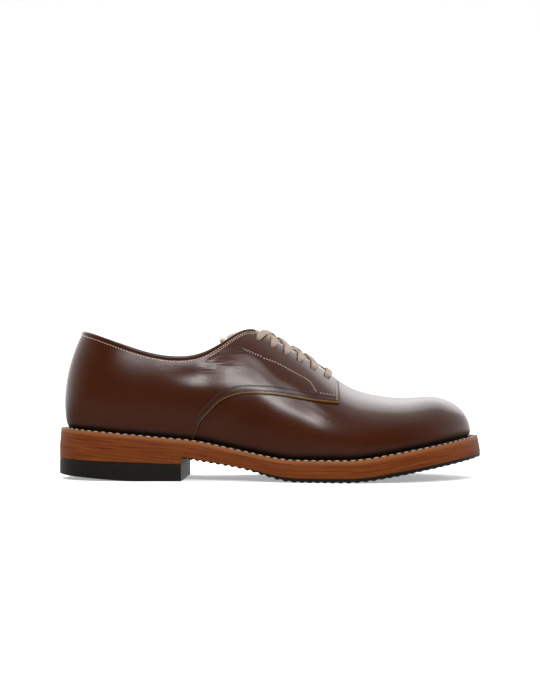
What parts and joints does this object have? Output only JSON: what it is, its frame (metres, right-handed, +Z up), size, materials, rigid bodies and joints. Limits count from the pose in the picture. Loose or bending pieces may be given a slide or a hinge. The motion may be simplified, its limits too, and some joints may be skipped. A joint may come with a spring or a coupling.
{
  "type": "low quarter shoe",
  "caption": "Plain-toe derby shoe in smooth brown leather: open lacing, stitched welt all round, tan leather sole edge, thin black rubber outsole and stacked heel.",
  "frame": {"origin": "on the floor, under the middle of the shoe's box", "axes": "+X to the toe, +Y to the medial (inner) side, +Z up"},
  "size_m": [0.3048, 0.1072, 0.11],
  "materials": {
    "upper_leather": "smooth, polished",
    "lining": "matt",
    "sole_leather": "burnished edge",
    "rubber": "matt",
    "lace": "flat woven"
  },
  "bodies": {
    "root": {"outsole": "rubber", "heel_top_piece": "rubber", "midsole": "sole_leather", "welt": "sole_leather", "heel_lift": "sole_leather", "insole": "lining", "upper": "upper_leather", "quarter_lateral": "upper_leather", "quarter_medial": "upper_leather", "tongue": "upper_leather", "lace_bar": "lace", "lace_cross_1": "lace", "lace_cross_2": "lace", "lace_cross_3": "lace", "lace_cross_4": "lace", "lace_cross_5": "lace"}
  },
  "joints": []
}
